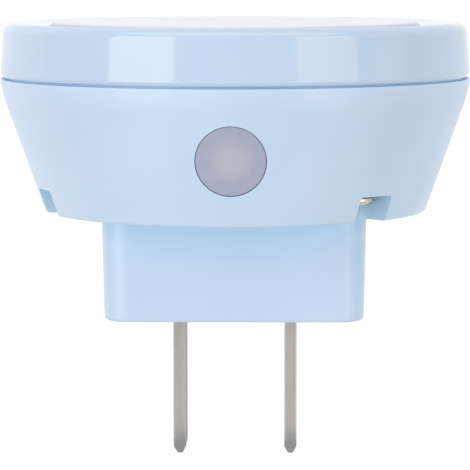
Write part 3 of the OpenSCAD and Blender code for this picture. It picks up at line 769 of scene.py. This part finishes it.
def makeWindow(look):
    # the face follows the slope of the bowl
    radius, edge, around = look["hole"] / 2 - look["gap"], look["edge"], circle(look["steps"])
    face = [((radius - edge) * i / look["loops"], 0) for i in range(1, look["loops"])]
    face += arc(radius - edge, -edge, edge, 90, 0, steps=5)
    bm = bmesh.new()
    rings = [[bm.verts.new((0, coneRadius(sensorAt) - look["sink"], sensorAt))]]
    for r, rise in face:
        ring = []
        for a in around:
            x, z = r * math.cos(a), sensorAt + r * math.sin(a)
            y = math.sqrt((coneRadius(z) - look["sink"]) ** 2 - x * x) + rise
            ring.append(bm.verts.new((x, y, z)))
        rings.append(ring)
    back, flange = seatAt - look["flangeThickness"], look["flange"] / 2
    for r, y in ((radius, seatAt), (flange, seatAt), (flange, back)):
        rings.append([bm.verts.new((r * math.cos(a), y, sensorAt + r * math.sin(a))) for a in around])
    rings.append([bm.verts.new((0, back, sensorAt))])
    skinRings(bm, rings)
    bmesh.ops.recalc_face_normals(bm, faces=bm.faces)
    finished(draft("sensorWindow", bm), "frostedWindow", "sensor_window")


finishes["frostedWindow"] = makeWindowFinish(windowLook)
makeWindow(sensorLook)


# The two blades, rounded at their tips
def bladeOutline(look, tabTop):
    half, length, corner = look["width"] / 2, look["length"], look["tipCorner"]
    shoulder, tab, end = look["shoulder"] / 2, look["tab"] / 2, blockLook["endThickness"]
    clampAt = end + look["shoulderHeight"]
    outline = arc(corner - half, corner - length, corner, 180, 270, steps=12)
    outline += arc(half - corner, corner - length, corner, 270, 360, steps=12)
    rightSide = [(half, end), (shoulder, end), (shoulder, clampAt), (tab, clampAt), (tab, tabTop)]
    return outline + rightSide + [(-x, y) for x, y in reversed(rightSide)]


def makeBlade(name, side, look, node):
    clampAt = blockLook["endThickness"] + look["shoulderHeight"]
    tabTop = clampAt + look["tabLength"]
    thick, tip = look["thickness"] / 2, look["tipThickness"] / 2
    end, bevelEnd = -look["length"], look["tip"] - look["length"]
    x = side * look["pitch"] / 2
    flat = Matrix.Translation((x - thick, 0, 0)) @ onEdge
    blade = draft(name, prism(bladeOutline(look, tabTop), look["thickness"]), flat)
    sideView = [(-tip, end), (tip, end), (thick, bevelEnd), (thick, tabTop)]
    sideView += [(-thick, tabTop), (-thick, bevelEnd)]
    upright = Matrix.Translation((x, look["shoulder"] / 2, 0)) @ Matrix.Rotation(math.radians(90), 4, "X")
    cut(blade, "INTERSECT", [draft("sideView", prism(sideView, look["shoulder"]), upright)])
    holeAt = (clampAt + blockLook["wall"] + tabTop) / 2
    across = Matrix.Translation((x, 0, holeAt)) @ Matrix.Rotation(math.radians(90), 4, "Y")
    cut(blade, "DIFFERENCE", [rod("hole", look["tabHole"] / 2, -2 * past, 2 * past, across, steps=24)])
    roundEdges(blade, look["edge"], segments=3)
    finished(blade, "satinNickel", node)


makeBlade("leftBlade", -1, bladeLook, "left_blade")
makeBlade("rightBlade", 1, bladeLook, "right_blade")


# Pan-head screws with a cross recess
screwLook = {
    "shank": 2.6,
    "shankLength": 12,
    "point": 1.56,
    "pointLength": 0.8,
    "head": 4.6,
    "headHeight": 1.25,
    "domeHeight": 0.6875,
    "undercut": 0.3,
    "undercutStep": 0.12,
    "recess": 2.7,
    "recessWidth": 0.62,
    "recessDepth": 0.75,
    "turns": (12, 38, 71),  # degrees that each cross is turned
    "steps": 48,
}


def screwProfile(look):
    head, high, dome = look["head"] / 2, look["headHeight"], look["domeHeight"]
    shank, length, undercut = look["shank"] / 2, look["shankLength"], look["undercut"]
    profile = [(0, length), (look["point"] / 2, length), (shank, length - look["pointLength"]), (shank, 0)]
    profile += [(head - undercut, 0), (head - undercut, -look["undercutStep"]), (head, -undercut)]
    profile += [(head * c, dome - high - dome * s) for c, s in arc(0, 0, 1, 0, 81, steps=9)]
    return profile + [(0, -high)]


def makeScrew(look, turn):
    screw = draft("screw", turned(screwProfile(look), look["steps"]))
    half, reach, low = look["recessWidth"] / 2, look["recess"] / 2, -look["headHeight"] - 2 * past
    bars = []
    for extra in (0, 90):
        spin = Matrix.Rotation(math.radians(turn + extra), 4, "Z")
        top = look["recessDepth"] - look["headHeight"]
        bars.append(slab("bar", (-reach, -half, low), (reach, half, top), spin))
    cut(screw, "DIFFERENCE", bars)
    return screw


def makeCaseScrews():
    bm = bmesh.new()
    seat = Matrix.Translation((0, 0, bowlLook["floorAt"] + notchLook["depth"]))
    for turn, spin in zip(notchLook["turns"], screwLook["turns"]):
        screw = makeScrew(screwLook, spin)
        screw.data.transform(atTurn(turn, screwRing) @ seat)
        bm.from_mesh(screw.data)
        bpy.data.objects.remove(screw)
    finished(draft("caseScrews", bm), "brightNickel", "case_screws")


makeCaseScrews()


# The inner pieces stay as they are and get their own finishes
innerFinishes = {
    "light_shield": "blackMoulded",
    "photocell": "cellCeramic",
    "photocell_leads": "tinnedWire",
    "blade_clamp": "whiteMoulded",
    "clamp_screws": "zincPlate",
    "circuit_board": "boardCoat",
    "board_screws": "zincPlate",
    "light_emitters": "emitterGel",
    "reflector": "whiteMoulded",
    "film_capacitor": "dippedOrange",
    "electrolytic_capacitor": "shrunkSleeve",
    "bridge_rectifier": "blackMoulded",
    "fusible_resistor": "coatedTan",
    "chip_resistors": "blackMoulded",
    "transistor": "blackMoulded",
    "left_wire": "blackWire",
    "right_wire": "redWire",
}
for nodeName, finishName in innerFinishes.items():
    nodes[nodeName].data.materials.clear()
    nodes[nodeName].data.materials.append(finishes[finishName])
print("inner pieces painted:", len(innerFinishes))
